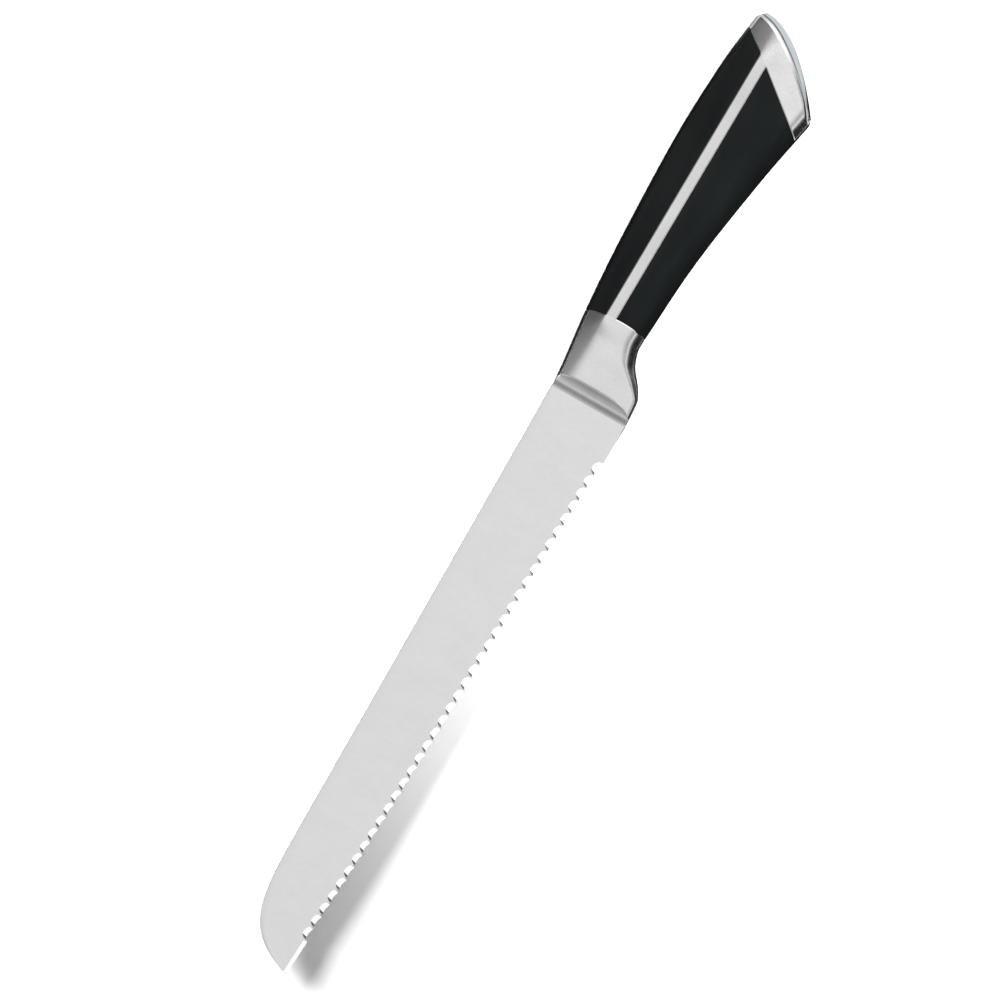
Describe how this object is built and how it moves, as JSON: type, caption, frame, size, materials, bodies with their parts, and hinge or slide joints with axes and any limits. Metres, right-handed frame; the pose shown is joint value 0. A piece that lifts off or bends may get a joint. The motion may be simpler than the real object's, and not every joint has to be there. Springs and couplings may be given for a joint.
{
  "type": "bread knife",
  "caption": "Bread knife with a scalloped blade, cast steel bolster, black handle covers parted by a steel strip on each side, slanted end cap and domed butt.",
  "frame": {"origin": "centre of the bounding box, at its lowest face: the knife lies on its right side on the plane z = 0", "axes": "+X from the tip to the butt, +Y towards the spine, +Z out of the blade's left face, which carries the ground scallops"},
  "size_m": [0.3358, 0.0348, 0.0212],
  "materials": {
    "blade_steel": "fine satin grain across the blade",
    "handle_steel": "brushed",
    "butt_steel": "polished",
    "cover_plastic": "satin black",
    "core_plastic": "moulded, unfinished",
    "fixing_steel": "turned"
  },
  "bodies": {
    "root": {"blade": "blade_steel", "bolster": "handle_steel", "left_strip": "handle_steel", "right_strip": "handle_steel", "spine_cover": "cover_plastic", "belly_cover": "cover_plastic", "left_core": "core_plastic", "right_core": "core_plastic", "front_tang_pin": "fixing_steel", "rear_tang_pin": "fixing_steel", "end_cap": "handle_steel", "left_cap_screw": "fixing_steel", "right_cap_screw": "fixing_steel", "butt_plate": "butt_steel"}
  },
  "joints": []
}
